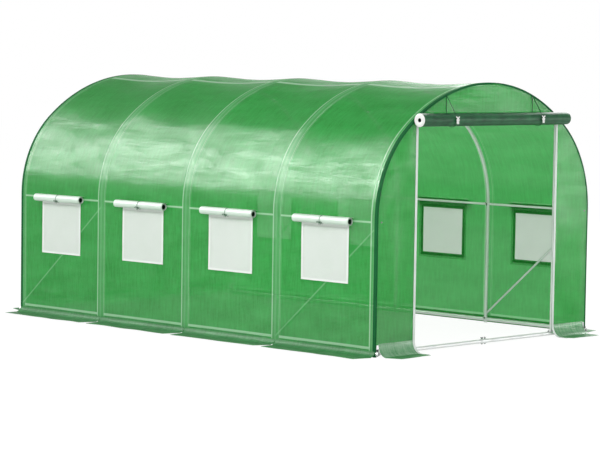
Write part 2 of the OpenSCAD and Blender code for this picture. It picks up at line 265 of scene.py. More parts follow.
def bump(tree, height, distance, strength=1.0):
    """The Normal output of a Bump node over a height."""
    made = add_node(tree, "Bump", Strength=strength, Distance=distance)
    tree.links.new(height, made.inputs["Height"])
    return made.outputs["Normal"]


steel, tree, out = new_material("powder_coated_steel")
shader = add_node(tree, "BsdfPrincipled", Metallic=0.35)
shader.inputs["Coat Weight"].default_value = 0.25
shader.inputs["Coat Roughness"].default_value = 0.25
coat = add_mottling(tree, 6.0, 420.0)
tint = blend_colours(tree, coat.outputs["Patches"], (0.80, 0.82, 0.82, 1), (0.93, 0.94, 0.93, 1))
# Painted shade: the base colour turns dark grey towards each tube's outline.
painted_rim_shade = add_node(tree, "LayerWeight", Blend=0.35)
tint = blend_colours(tree, maths(tree, "MULTIPLY", painted_rim_shade.outputs["Facing"], 0.6), tint, (0.12, 0.14, 0.13, 1))
tree.links.new(tint, shader.inputs["Base Color"])
tree.links.new(maths(tree, "MULTIPLY_ADD", coat.outputs["Patches"], 0.14, 0.28), shader.inputs["Roughness"])
tree.links.new(bump(tree, coat.outputs["Grain"], 0.0002), shader.inputs["Normal"])
tree.links.new(shader.outputs[0], out.inputs["Surface"])


def finish_node(name, material):
    """Gives a frame node its finish."""
    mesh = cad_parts[name].data
    mesh.materials.clear()
    mesh.materials.append(material)


for name in tube_nodes:
    finish_node(name, steel)

# ---- Cover film ----
# Woven polyethylene tape laminated between two clear films: green, glossy, with a paler square grid of
# reinforcing threads. Light comes through it, and a tube that it lies on shows as a pale line.

film_t = 0.0012
grid_pitch = 0.010
grid_line = 0.0016
film_ior = 1.28
film_relief = 0.0003
through_colour = (0.06, 0.85, 0.14, 1)
lit_through = 0.65
touched_colour = (0.30, 0.72, 0.36, 1)
doubled_colour = (0.22, 0.55, 0.27, 1)
bright_colour = (0.55, 0.88, 0.60, 1)


def grid_group():
    """The reinforcing grid on the sheet's own UV map in metres: a mask of its threads."""
    group = bpy.data.node_groups.new("reinforcing_grid", "ShaderNodeTree")
    group.interface.new_socket("Pitch", in_out="INPUT", socket_type="NodeSocketFloat")
    group.interface.new_socket("Line", in_out="INPUT", socket_type="NodeSocketFloat")
    group.interface.new_socket("Threads", in_out="OUTPUT", socket_type="NodeSocketFloat")
    given = group.nodes.new("NodeGroupInput")
    result = group.nodes.new("NodeGroupOutput")
    flat = add_node(group, "UVMap", uv_map="cut")
    parts = add_node(group, "SeparateXYZ")
    group.links.new(flat.outputs[0], parts.inputs[0])
    half_line = maths(group, "MULTIPLY", given.outputs["Line"], 0.5)
    half_line = maths(group, "DIVIDE", half_line, given.outputs["Pitch"])
    threads = []
    for axis in ("X", "Y"):
        step = maths(group, "FRACT", maths(group, "DIVIDE", parts.outputs[axis], given.outputs["Pitch"]))
        off_line = maths(group, "ABSOLUTE", maths(group, "SUBTRACT", step, 0.5))
        threads.append(maths(group, "LESS_THAN", off_line, half_line))
    group.links.new(maths(group, "MAXIMUM", threads[0], threads[1]), result.inputs["Threads"])
    return group


reinforcing_grid = grid_group()


def add_grid(tree, pitch, line):
    """The threads' mask of the reinforcing grid, placed in a material with its pitch and line width."""
    made = tree.nodes.new("ShaderNodeGroup")
    made.node_tree = reinforcing_grid
    made.inputs["Pitch"].default_value = pitch
    made.inputs["Line"].default_value = line
    return made.outputs["Threads"]


def weave_group():
    """The film's own texture on its UV map in metres: ribs, streaks and broad wrinkles."""
    group = bpy.data.node_groups.new("film_weave", "ShaderNodeTree")
    result = group.nodes.new("NodeGroupOutput")
    flat = add_node(group, "UVMap", uv_map="cut")
    for name, stretch, detail in (
        ("Ribs", (52, 7, 1), 2), ("Streaks", (4, 62, 1), 3), ("Wrinkles", (2.6, 8, 1), 4)
    ):
        group.interface.new_socket(name, in_out="OUTPUT", socket_type="NodeSocketFloat")
        stretched = add_node(group, "VectorMath", operation="MULTIPLY")
        stretched.inputs[1].default_value = stretch
        cloud = add_node(group, "TexNoise", Scale=1.0, Detail=detail, Roughness=0.6)
        group.links.new(flat.outputs[0], stretched.inputs[0])
        group.links.new(stretched.outputs[0], cloud.inputs["Vector"])
        group.links.new(cloud.outputs["Fac"], result.inputs[name])
    return group


film_weave = weave_group()


def glow_through(tree, shader, colour, share):
    """A shader mixed with the light that comes through its cloth."""
    through = add_node(tree, "BsdfTranslucent")
    tree.links.new(colour, through.inputs["Color"])
    sheet = add_node(tree, "MixShader", Fac=share)
    tree.links.new(shader.outputs[0], sheet.inputs[1])
    tree.links.new(through.outputs[0], sheet.inputs[2])
    return sheet


def show_outer_face(tree, sheet, cover, out):
    """Shows a sheet's faces as far as cover says, and leaves them clear from behind."""
    face = add_node(tree, "NewGeometry")
    front = maths(tree, "SUBTRACT", 1.0, face.outputs["Backfacing"])
    choice = add_node(tree, "MixShader")
    tree.links.new(maths(tree, "MULTIPLY", cover, front), choice.inputs["Fac"])
    tree.links.new(add_node(tree, "BsdfTransparent").outputs[0], choice.inputs[1])
    tree.links.new(sheet.outputs[0], choice.inputs[2])
    tree.links.new(choice.outputs[0], out.inputs["Surface"])


def film_material(name, deep, light, opacity, backlit, roughness, marks=None, shine=1.0):
    """A translucent woven film. Its faces are left clear from behind, so each sheet counts once.
    marks is a group that tells where the sheet is doubled, touches a tube or has a pale line."""
    made, tree, out = new_material(name)
    threads = add_grid(tree, grid_pitch, grid_line)
    weave = tree.nodes.new("ShaderNodeGroup")
    weave.node_tree = film_weave
    ribs, streaks, wrinkles = (weave.outputs[part] for part in ("Ribs", "Streaks", "Wrinkles"))
    depth = add_node(tree, "MapRange")
    shade = maths(tree, "MULTIPLY_ADD", wrinkles, 0.5, maths(tree, "MULTIPLY", ribs, 0.5))
    tree.links.new(shade, depth.inputs["Value"])
    depth.inputs["From Min"].default_value = 0.36
    depth.inputs["From Max"].default_value = 0.64
    body = blend_colours(tree, depth.outputs[0], deep, light)
    thread_colour = (light[0] * 1.6 + 0.02, light[1] * 1.3, light[2] * 1.6 + 0.02, 1)
    colour = blend_colours(tree, maths(tree, "MULTIPLY", threads, 0.4), body, thread_colour)
    cover = maths(tree, "MULTIPLY_ADD", threads, 0.05, opacity)
    height = maths(tree, "MULTIPLY_ADD", wrinkles, 2.5, maths(tree, "MULTIPLY_ADD", ribs, 0.35, streaks))
    if marks:
        marked = tree.nodes.new("ShaderNodeGroup")
        marked.node_tree = marks
        for part, share, mark_colour in (
            ("Doubled", 0.28, doubled_colour),
            ("Touching", 0.62, touched_colour),
            ("Bright", 0.85, bright_colour),
        ):
            strength = maths(tree, "MULTIPLY", marked.outputs[part], share)
            colour = blend_colours(tree, strength, colour, mark_colour)
        height = maths(tree, "MULTIPLY_ADD", marked.outputs["Bright"], 2.0, height)
    shader = add_node(tree, "BsdfPrincipled", IOR=film_ior, Roughness=0.45)
    shader.inputs["Coat IOR"].default_value = 1.5
    gloss = maths(tree, "MULTIPLY_ADD", wrinkles, 1.6, maths(tree, "MULTIPLY_ADD", streaks, 1.6, -0.85))
    gloss = maths(tree, "MINIMUM", maths(tree, "MAXIMUM", gloss, 0.25), 1.3)
    tree.links.new(maths(tree, "MULTIPLY", gloss, shine), shader.inputs["Coat Weight"])
    shader.inputs["Coat Roughness"].default_value = roughness
    tree.links.new(colour, shader.inputs["Base Color"])
    bumped = bump(tree, height, film_relief)
    tree.links.new(bumped, shader.inputs["Normal"])
    tree.links.new(bumped, shader.inputs["Coat Normal"])
    sheet = glow_through(tree, shader, blend_colours(tree, lit_through, colour, through_colour), backlit)
    show_outer_face(tree, sheet, cover, out)
    return made


def span(first, last, step, *stops):
    """Even stations from first to last, no further apart than step, that pass through each stop."""
    marks = sorted({first, last, *stops})
    places = []
    for low, high in zip(marks, marks[1:]):
        count = max(1, math.ceil((high - low) / step - 1e-6))
        places += [low + (high - low) * i / count for i in range(count)]
    return places + [marks[-1]]


def lay_sheet(name, rows, flat, thickness, flipped=False, cut=None):
    """A closed thin sheet through rows of points; flat holds each point's place on the uncut cloth.
    Its points lie on its outer face, and cut(i, j) says which cells are cut out."""
    width = len(rows[0])
    points = [p for row in rows for p in row]
    places = [p for row in flat for p in row]
    faces = []
    for i in range(len(rows) - 1):
        for j in range(width - 1):
            if cut and cut(i, j):
                continue
            a = i * width + j
            corners = (a, a + 1, a + width + 1, a + width)
            faces.append(corners[::-1] if flipped else corners)
    mesh = bpy.data.meshes.new(name)
    mesh.from_pydata(points, [], faces)
    uv = mesh.uv_layers.new(name="cut")
    for loop in mesh.loops:
        uv.data[loop.index].uv = places[loop.vertex_index]
    made = bpy.data.objects.new(name, mesh)
    scene.collection.objects.link(made)
    bpy.ops.object.select_all(action="DESELECT")
    bpy.context.view_layer.objects.active = made
    made.select_set(True)
    bpy.ops.object.mode_set(mode="EDIT")
    bpy.ops.mesh.select_all(action="SELECT")
    bpy.ops.mesh.remove_doubles(threshold=1e-5)
    bpy.ops.mesh.select_all(action="DESELECT")
    bpy.ops.mesh.select_mode(type="VERT")
    bpy.ops.object.mode_set(mode="OBJECT")
    wall = made.modifiers.new("wall", "SOLIDIFY")
    wall.thickness = thickness
    wall.offset = -1
    wall.use_even_offset = True
    bpy.ops.object.modifier_apply(modifier="wall")
    bpy.ops.object.shade_smooth_by_angle(angle=math.radians(40))
    made.select_set(False)
    return made


def settle(piece, material, slot, *nodes):
    """Gives a finished piece its material if it has none and its body, and hides the frame nodes that it
    stands for. slot is not used.
    """
    if not piece.data.materials:
        piece.data.materials.append(material)
    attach(piece, "root")
    if nodes:
        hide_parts(*nodes)
    return piece


# ---- Cover ----
# One sheet over all the hoops, from the ground on one side to the ground on the other, with eight
# window holes, drawn tight over the hoops and slack between them. The real film lets the ridge rail show:
# a straight pale line along each side of the ridge stands for it here.

crown_angle = math.radians(41)
wall_low, wall_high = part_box("right_wall_cover")
arch_low, arch_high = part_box("front_arch")
tube_r = (arch_high.y - arch_low.y) / 2
leg_x = arch_high.x - tube_r
wall_h = wall_high.z
skin_in = wall_low.x - leg_x
cover_off = skin_in + film_t
arch_rise = arch_high.z - tube_r - wall_h
arc_step = (leg_x - arch_rise) / (math.sin(crown_angle) + math.cos(crown_angle) - 1)
shoulder_r = leg_x - arc_step * math.sin(crown_angle)
shoulder_x = leg_x - shoulder_r
crown_r = shoulder_r + arc_step
crown_z = wall_h + arch_rise - crown_r
shoulder_turn = math.pi / 2 - crown_angle

front_hoop_y = (arch_low.y + arch_high.y) / 2
bays = 4
bay_l = -2 * front_hoop_y / bays
hoops_y = [front_hoop_y + bay_l * i for i in range(bays + 1)]
bays_y = [y + bay_l / 2 for y in hoops_y[:-1]]
cover_end_y = -front_hoop_y + skin_in + film_t

window_w, window_h = 0.430, 0.380
screen_lap = 0.025
screen_low, screen_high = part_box("left_window_screens")
window_z0 = screen_low.z + screen_lap
window_z1 = screen_high.z - screen_lap

ground_gap = 0.003
sag_crown = 0.022
sag_shoulder = 0.010
sag_wall = 0.003
pocket_half = 0.038
side_rail_z = sum(corner.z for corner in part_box("left_side_rails")) / 2
base_rail_z = sum(corner.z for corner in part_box("left_base_rails")) / 2
flap_seam_z = 0.066
ridge_line = 0.292  # from the ridge to each pale line, round the girth
brace_foot_z = 0.070
brace_head_drop = 0.045
brace_head_z = side_rail_z - brace_head_drop


def arch_point(angle, off):
    """Point of the hoop's line set off outwards, at an angle from +X towards +Z."""
    if angle < shoulder_turn:
        x, z, r = shoulder_x, wall_h, shoulder_r
    elif angle > math.pi - shoulder_turn:
        x, z, r = -shoulder_x, wall_h, shoulder_r
    else:
        x, z, r = 0, crown_z, crown_r
    return Vector((x + (r + off) * math.cos(angle), 0, z + (r + off) * math.sin(angle)))


def round_the_girth(off, wall_step, arch_step, *stops):
    """Stations from the left foot over the arch to the right foot: point, outward normal, angle."""
    heights = span(ground_gap, wall_h, wall_step, *stops)
    angles = span(0, math.pi, arch_step, shoulder_turn, math.pi / 2, math.pi - shoulder_turn)
    left = [(Vector((-leg_x - off, 0, z)), Vector((-1, 0, 0)), math.pi) for z in heights]
    over = [(arch_point(a, off), Vector((math.cos(a), 0, math.sin(a))), a) for a in reversed(angles)]
    right_side = [(Vector((leg_x + off, 0, z)), Vector((1, 0, 0)), 0) for z in reversed(heights)]
    return left[:-1] + over + right_side[1:]


def along_girth(stations):
    """Length of the girth from its first station to each."""
    lengths = [0.0]
    for before, after in zip(stations, stations[1:]):
        lengths.append(lengths[-1] + (after[0] - before[0]).length)
    return lengths


def ripple(point, height, length, seed):
    """Small unevenness of a hung sheet."""
    return height * noise.noise(Vector(point) / length + Vector((seed, 0, 0)))


def sag(angle, y):
    """How far the cover hangs in from the hoops' line, between two hoops."""
    share = (min(max(y, hoops_y[0]), hoops_y[-1]) - front_hoop_y) / bay_l % 1
    hang = math.sin(math.pi * share) ** 1.15
    steep = math.sin(angle)
    depth = sag_wall + (sag_shoulder - sag_wall) * min(1, steep / 0.5)
    if steep > 0.5:
        rise = (steep - 0.5) / 0.5
        depth += (sag_crown - sag_shoulder) * rise * rise * (3 - 2 * rise)
    return depth * hang


def on_cover(place, normal, angle, y, lift=0.0):
    """Point of the hung cover's outer face at a station of the girth, lifted off it."""
    free = abs(math.sin(math.pi * (y - front_hoop_y) / bay_l))
    point = place + Vector((0, y, 0))
    inwards = sag(angle, y) + free * (ripple(point, 0.0024, 0.32, 3.0) + ripple(point, 0.0010, 0.11, 9.0))
    near_ground = min(1, point.z / 0.15)
    return point - normal * (max(0, inwards) * near_ground - lift)


girth = round_the_girth(cover_off, 0.030, math.radians(2), window_z0, window_z1)
girth_at = along_girth(girth)
holes_y = [y + side * window_w / 2 for y in bays_y for side in (-1, 1)]
cover_y = span(-cover_end_y, cover_end_y, 0.035, *hoops_y, *holes_y)
rows = [[on_cover(*station, y) for y in cover_y] for station in girth]
flat = [[(y, along) for y in cover_y] for along in girth_at]


def near_line(tree, value, place, half_width, edge):
    """1 where a value is within half_width of a place, falling to 0 over an edge."""
    off = maths(tree, "ABSOLUTE", maths(tree, "SUBTRACT", value, place))
    made = add_node(tree, "MapRange")
    for name, number in (
        ("From Min", half_width + edge), ("From Max", half_width), ("To Min", 0.0), ("To Max", 1.0)
    ):
        made.inputs[name].default_value = number
    tree.links.new(off, made.inputs["Value"])
    return made.outputs[0]


def most_of(tree, values):
    """The largest of several values."""
    largest = values[0]
    for value in values[1:]:
        largest = maths(tree, "MAXIMUM", largest, value)
    return largest


def cover_marks_group():
    """Where the cover is doubled over a hoop, lies on a tube or has a pale line, from its own UV map."""
    group = bpy.data.node_groups.new("cover_marks", "ShaderNodeTree")
    for name in ("Doubled", "Touching", "Bright"):
        group.interface.new_socket(name, in_out="OUTPUT", socket_type="NodeSocketFloat")
    result = group.nodes.new("NodeGroupOutput")
    parts = add_node(group, "SeparateXYZ")
    group.links.new(add_node(group, "UVMap", uv_map="cut").outputs[0], parts.inputs[0])
    along, round_it = parts.outputs["X"], parts.outputs["Y"]
    far_side = maths(group, "SUBTRACT", girth_at[-1], round_it)
    height = maths(group, "ADD", maths(group, "MINIMUM", round_it, far_side), ground_gap)
    bay = maths(group, "DIVIDE", maths(group, "SUBTRACT", along, front_hoop_y), bay_l)
    nearest = maths(group, "ROUND", bay)
    off_hoop = maths(group, "MULTIPLY", maths(group, "SUBTRACT", bay, nearest), bay_l)
    lean = (brace_head_z - brace_foot_z) / bay_l
    braces = []
    for rear in (hoops_y[1], hoops_y[-1]):
        line = maths(group, "MULTIPLY_ADD", along, -lean, brace_foot_z + lean * rear)
        across = maths(group, "MULTIPLY", maths(group, "SUBTRACT", height, line), 1 / math.hypot(1, lean))
        inside = near_line(group, along, rear - bay_l / 2, bay_l / 2, 0.001)
        strip = near_line(group, across, 0.0, 0.0045, 0.003)
        braces.append(maths(group, "MULTIPLY", maths(group, "MULTIPLY", strip, inside), 0.8))
    doubled = near_line(group, off_hoop, 0.0, pocket_half, 0.002)
    between = maths(group, "SUBTRACT", 1.0, doubled)
    rails = most_of(group, [
        near_line(group, height, side_rail_z, 0.005, 0.004),
        near_line(group, height, flap_seam_z, 0.008, 0.004),
        near_line(group, height, girth_at[-1] / 2 + ground_gap - ridge_line, 0.018, 0.010),
    ])
    touching = [maths(group, "MULTIPLY", near_line(group, off_hoop, 0.004, 0.006, 0.008), 0.5), *braces]
    bright = [
        maths(group, "MULTIPLY", rails, between),
        near_line(group, off_hoop, pocket_half, 0.0042, 0.003),
        maths(group, "MULTIPLY", near_line(group, off_hoop, -pocket_half, 0.0018, 0.002), 0.5),
        maths(group, "MULTIPLY", near_line(group, off_hoop, -pocket_half - 0.012, 0.0015, 0.002), 0.3),
    ]
    group.links.new(doubled, result.inputs["Doubled"])
    group.links.new(most_of(group, touching), result.inputs["Touching"])
    group.links.new(most_of(group, bright), result.inputs["Bright"])
    return group


cover_marks = cover_marks_group()
cover_film = film_material(
    "cover_film", (0.003, 0.21, 0.015, 1), (0.022, 0.41, 0.060, 1), 0.84, 0.42, 0.19, marks=cover_marks
)


def in_window(i, j):
    """Whether a cell of the cover lies in a window's hole."""
    z = (girth[i][0].z + girth[i + 1][0].z) / 2
    y = (cover_y[j] + cover_y[j + 1]) / 2
    upright = girth[i][2] in (0, math.pi) and girth[i + 1][2] in (0, math.pi)
    return upright and window_z0 < z < window_z1 and any(abs(y - c) < window_w / 2 for c in bays_y)


cover = lay_sheet("cover", rows, flat, film_t, cut=in_window)
settle(cover, cover_film, "green_film", "roof_cover", "left_wall_cover", "right_wall_cover")

# ---- Edge bindings ----
# A dark green tape is folded over the cover's two end edges and sewn through, where it meets the end
# panels at the end hoops.

tape_t = 0.0012
tape_w = 0.024
sewn_gap = 0.0004


def trace(name, stations, corners):
    """A closed strip that carries a section's corners, which corners(place, normal) gives, past stations."""
    rings = [corners(*station[:2]) for station in stations]
    count = len(rings[0])
    faces = [tuple(range(count)), tuple(reversed(range((len(rings) - 1) * count, len(rings) * count)))]
    for i in range(len(rings) - 1):
        for j in range(count):
            a, b = i * count + j, i * count + (j + 1) % count
            faces.append((a, a + count, b + count, b))
    mesh = bpy.data.meshes.new(name)
    mesh.from_pydata([p for ring in rings for p in ring], [], faces)
    made = bpy.data.objects.new(name, mesh)
    scene.collection.objects.link(made)
    bpy.ops.object.select_all(action="DESELECT")
    bpy.context.view_layer.objects.active = made
    made.select_set(True)
    bpy.ops.object.mode_set(mode="EDIT")
    bpy.ops.mesh.select_all(action="SELECT")
    bpy.ops.mesh.normals_make_consistent(inside=False)
    bpy.ops.object.mode_set(mode="OBJECT")
    bpy.ops.object.shade_smooth_by_angle(angle=math.radians(30))
    made.select_set(False)
    return made


def cloth_material(name, deep, light, roughness, weave_scale, backlit=0.0, ior=1.4):
    """A woven tape, cord or pale cloth: two shades, a fine weave, and backlit's share of light through it."""
    made, tree, out = new_material(name)
    cloud = add_mottling(tree, 5.0, weave_scale)
    colour = blend_colours(tree, cloud.outputs["Patches"], deep, light)
    shader = add_node(tree, "BsdfPrincipled", Roughness=roughness, IOR=ior)
    tree.links.new(colour, shader.inputs["Base Color"])
    tree.links.new(bump(tree, cloud.outputs["Grain"], 0.0004), shader.inputs["Normal"])
    sheet = glow_through(tree, shader, colour, backlit) if backlit else shader
    tree.links.new(sheet.outputs[0], out.inputs["Surface"])
    return made


binding_cloth = cloth_material(
    "binding_cloth", (0.003, 0.075, 0.018, 1), (0.010, 0.14, 0.040, 1), 0.7, 900.0, ior=1.15
)


def binding_corners(end):
    """The folded tape's section at one end: over the cover's edge and down the end panel's."""
    face_y = end * (cover_end_y + sewn_gap)
    back_y = end * (cover_end_y + sewn_gap + tape_t)
    lap_y = end * (cover_end_y - tape_w)

    def corners(place, normal):
        low, mid, high = -tube_r * 0.9, 0.0003, 0.0003 + tape_t
        section = ((mid, lap_y), (high, lap_y), (high, back_y), (low, back_y), (low, face_y), (mid, face_y))
        return [place + normal * off + Vector((0, y, 0)) for off, y in section]

    return corners


for end, label in ((-1, "front"), (1, "rear")):
    binding = trace(f"{label}_binding", girth, binding_corners(end))
    settle(binding, binding_cloth, "dark_green_film")

# ---- End panels ----
# The door end has a panel each side of the posts and a half-moon over them; the rear end is one sheet.
# They are cut from the same film and sewn to the cover along the end hoops.

end_off = tube_r + 0.001
panel_y = cover_end_y
panel_low, panel_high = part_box("front_left_panel")
door_edge_x = -panel_high.x
panel_z0, panel_z1 = panel_low.z, panel_high.z
billow = 0.006

panel_film = film_material(
    "panel_film", (0.003, 0.23, 0.017, 1), (0.018, 0.42, 0.055, 1), 0.77, 0.42, 0.18, shine=0.7
)


def edge_x(z):
    """Half width of an end panel at a height."""
    if z <= wall_h:
        return leg_x + end_off
    turn_z = wall_h + (shoulder_r + end_off) * math.sin(shoulder_turn)
    if z <= turn_z:
        return shoulder_x + math.sqrt((shoulder_r + end_off) ** 2 - (z - wall_h) ** 2)
    return math.sqrt(max(0, (crown_r + end_off) ** 2 - (z - crown_z) ** 2))


def panel_heights(z0, z1):
    """Heights that follow the arch evenly, closer together towards the ridge."""
    angles = span(0, math.pi / 2, math.radians(3))
    heights = [z for z in span(panel_z0, wall_h, 0.04) if z < wall_h]
    heights += [arch_point(a, end_off).z for a in angles]
    return [z0] + [z for z in heights if z0 + 0.004 < z < z1 - 0.004] + [z1]


def end_sheet(name, end, z0, z1, left, right_edge, columns):
    """An end panel between two heights; left and right_edge give its sides at a height."""
    rows, flat = [], []
    for z in panel_heights(z0, z1):
        x0, x1 = left(z), right_edge(z)
        row, line = [], []
        for i in range(columns + 1):
            x = x0 + (x1 - x0) * i / columns
            from_edges = (z - z0, edge_x(z) - abs(x))
            slack = min(1, 4 * i / columns, 4 * (columns - i) / columns, min(from_edges) / 0.1)
            wave = ripple(Vector((x, end, z)), billow, 0.30, 5.0) * max(0, slack)
            row.append(Vector((x, end * (panel_y + wave), z)))
            line.append((x, z))
        rows.append(row)
        flat.append(line)
    return lay_sheet(name, rows, flat, film_t, flipped=end > 0)


def hang_panel(name, end, z0, z1, left, right_edge, columns, node):
    piece = end_sheet(name, end, z0, z1, left, right_edge, columns)
    settle(piece, panel_film, "green_film", node)
    widest = max(right_edge(z) - left(z) for z in panel_heights(z0, z1))


hang_panel(
    "front_left_curtain", -1, panel_z0, panel_z1, lambda z: -edge_x(z), lambda z: -door_edge_x, 12,
    "front_left_panel",
)
hang_panel(
    "front_right_curtain", -1, panel_z0, panel_z1, lambda z: door_edge_x, edge_x, 12,
    "front_right_panel",
)
top_z = arch_point(math.pi / 2, end_off).z
hang_panel(
    "half_moon", -1, panel_z1, top_z, lambda z: -edge_x(z), edge_x, 44,
    "front_lunette",
)
hang_panel(
    "rear_curtain", 1, panel_z0, top_z, lambda z: -edge_x(z), edge_x, 60,
    "rear_panel",
)

# ---- Door edge tapes ----
# Each side of the doorway is edged with a pale zip tape, sewn to the panel in front of its post. At the
# foot it turns outwards with the ground flap.

flap_low, flap_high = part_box("front_skirts")
flare_top = flap_high.z
flap_reach = -flap_low.y
flare_w = 0.075
flare_reach = panel_y + flare_w
flap_taper = 0.035
flap_lift = 0.0035
zip_w = 0.024
zip_lap = 0.004
zip_rise = 0.0012


def flap_path(low_step):
    """Profile of an end flap from the panel's foot to its outer edge: distance out, height, outward tilt."""
    rise = flare_top + 0.010 - flap_lift
    bend_points = []
    for share in span(0, 1, 0.12):
        turn = share * math.pi / 2
        out = panel_y + 0.001 + (flare_reach - panel_y) * (1 - math.cos(turn))
        bend_points.append((out, flap_lift + rise * (1 - math.sin(turn)), turn))
    ground = [(out, flap_lift, math.pi / 2) for out in span(flare_reach, flap_reach - 0.001, low_step)]
    return bend_points + ground[1:]


def path_lengths(path):
    """Length of a profile up to each of its points."""
    lengths = [0.0]
    for before, after in zip(path, path[1:]):
        lengths.append(lengths[-1] + math.hypot(after[0] - before[0], after[1] - before[1]))
    return lengths


pale_tape = cloth_material("zip_tape", (0.50, 0.56, 0.52, 1), (0.74, 0.79, 0.76, 1), 0.45, 700.0)
sides = ((-1, "left"), (1, "right"))
for side, label in sides:
    rows, flat = [], []
    down = [(panel_y + 0.0022, z, 0) for z in reversed(span(flare_top + 0.012, panel_z1 - 0.004, 0.05))]
    path = down + [(out + 0.0012, z + 0.0016 * math.sin(turn), turn) for out, z, turn in flap_path(0.03)[:-2]]
    for (out, z, turn), along in zip(path, path_lengths(path)):
        across = span(0, zip_w, 0.006)
        row = []
        for x in across:
            teeth = zip_rise if 0.008 < x < 0.016 else 0
            row.append(Vector((side * (door_edge_x - zip_lap + x), -out - teeth, z)))
        rows.append(row[::-1] if side < 0 else row)
        flat.append([(x, along) for x in across])
    tape = lay_sheet(f"{label}_zip_tape", rows, flat, 0.001, flipped=True)
    settle(tape, pale_tape, "white_flap")

# ---- Ground flaps ----
# Strips of the same film, doubled and darker, run along the foot of every wall. They lie on the ground,
# where soil or stones hold them down; at the ends they flare out over the base rails first.

skirt_film = film_material(
    "skirt_film", (0.010, 0.13, 0.028, 1), (0.055, 0.30, 0.085, 1), 0.92, 0.25, 0.35, shine=0.15
)
# The bend of each end flap is the same film as its flat part, painted paler as painted light on its upturned
# face.
flare_painted_light_film = film_material(
    "flare_painted_light_film", (0.060, 0.26, 0.090, 1), (0.30, 0.55, 0.34, 1), 0.80, 0.30, 0.20
)


def lift_by_waves(x, y, share):
    """Height by which a ground flap's free part stands off the soil."""
    return share * (0.0035 + ripple((x, y, 0), 0.004, 0.21, 2.0))


def evenly(first, last, count):
    """A number of even stations from first to last."""
    return [first + (last - first) * i / (count - 1) for i in range(count)]


def end_flap(name, end, x0, x1, node):
    """A flap at an end, flared over the base rail, its outer corners cut at a slant."""
    path = flap_path(0.022)
    rows, flat = [], []
    for (out, z, turn), along in zip(path, path_lengths(path)):
        share = max(0.0, (out - flare_reach) / (flap_reach - flare_reach))
        cut_in = flap_taper * share
        xs = evenly(x0 + cut_in, x1 - cut_in, len(span(x0, x1, 0.04)))
        row = [Vector((x, end * out, z + lift_by_waves(x, end, share))) for x in xs]
        rows.append(row if end < 0 else row[::-1])
        flat.append([(x, along) for x in xs])
    flap = lay_sheet(name, rows, flat, film_t, flipped=True)
    flap.data.materials.append(flare_painted_light_film)
    flap.data.materials.append(skirt_film)
    # Faces on the bend take the paler film: painted light.
    for face in flap.data.polygons:
        face.material_index = int(abs(face.center.y) > flare_reach - 0.012)
    settle(flap, skirt_film, "dark_green_film", node)
    cut = (x1 - x0, path_lengths(path)[-1])


end_flap("front_left_flap", -1, flap_low.x, -door_edge_x, "front_skirts")
end_flap("front_right_flap", -1, door_edge_x, flap_high.x, "front_skirts")
end_flap("rear_flap", 1, flap_low.x, flap_high.x, "rear_skirt")

side_reach = -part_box("left_skirts")[0].x
flap_gap = 0.006
foot = [(leg_x + cover_off + out, z) for out, z in (
    (0.0006, 0.058), (0.0012, 0.046), (0.005, 0.032), (0.013, 0.020), (0.026, 0.011), (0.044, flap_lift)
)]
foot_out = foot[-1][0]
for side, label in sides:
    for number, middle in enumerate(bays_y, 1):
        y0 = middle - bay_l / 2 + flap_gap if number > 1 else -cover_end_y + 0.001
        y1 = middle + bay_l / 2 - flap_gap if number < bays else cover_end_y - 0.001
        path = foot + [(out, flap_lift) for out in span(foot_out + 0.02, side_reach - 0.001, 0.026)]
        rows, flat = [], []
        for (out, z), along in zip(path, path_lengths(path)):
            share = max(0.0, (out - foot_out) / (side_reach - foot_out))
            cut_in = flap_taper * share
            ys = evenly(y0 + cut_in, y1 - cut_in, len(span(y0, y1, 0.045)))
            row = [Vector((side * out, y, z + lift_by_waves(side * 3.0, y, share))) for y in ys]
            rows.append(row if side < 0 else row[::-1])
            flat.append([(y, along) for y in ys])
        flap = lay_sheet(f"{label}_flap_{number}", rows, flat, film_t)
        settle(flap, skirt_film, "dark_green_film", f"{label}_skirts")
        cut = (y1 - y0, path_lengths(path)[-1])

# ---- Window screens ----
# A panel of fine white insect mesh is sewn over each window hole from outside, with a white tape round
# its edge. Inside, a darker band of film faces the hole.

screen_tape_w = 0.017
facing_w = 0.045
mesh_pitch = 0.0016


def mesh_material():
    """Woven insect mesh: pale threads with fine openings, lit through from the other side."""
    made, tree, out = new_material("insect_mesh")
    threads = add_grid(tree, mesh_pitch, mesh_pitch * 0.55)
    cloud = add_mottling(tree, 7.0, 300.0)
    colour = blend_colours(tree, cloud.outputs["Patches"], (0.90, 0.93, 0.90, 1), (0.97, 0.98, 0.97, 1))
    shader = add_node(tree, "BsdfPrincipled", Roughness=0.7)
    tree.links.new(colour, shader.inputs["Base Color"])
    tree.links.new(bump(tree, threads, 0.0002), shader.inputs["Normal"])
    threads_cover = maths(tree, "MULTIPLY_ADD", threads, 0.06, 0.88)
    show_outer_face(tree, glow_through(tree, shader, colour, 0.34), threads_cover, out)
    return made


insect_mesh = mesh_material()
screen_tape = cloth_material(
    "screen_tape", (0.90, 0.93, 0.90, 1), (0.97, 0.98, 0.97, 1), 0.6, 800.0, backlit=0.2
)
facing_film = film_material(
    "facing_film", (0.006, 0.24, 0.022, 1), (0.020, 0.40, 0.055, 1), 0.45, 0.42, 0.25, shine=0.4
)


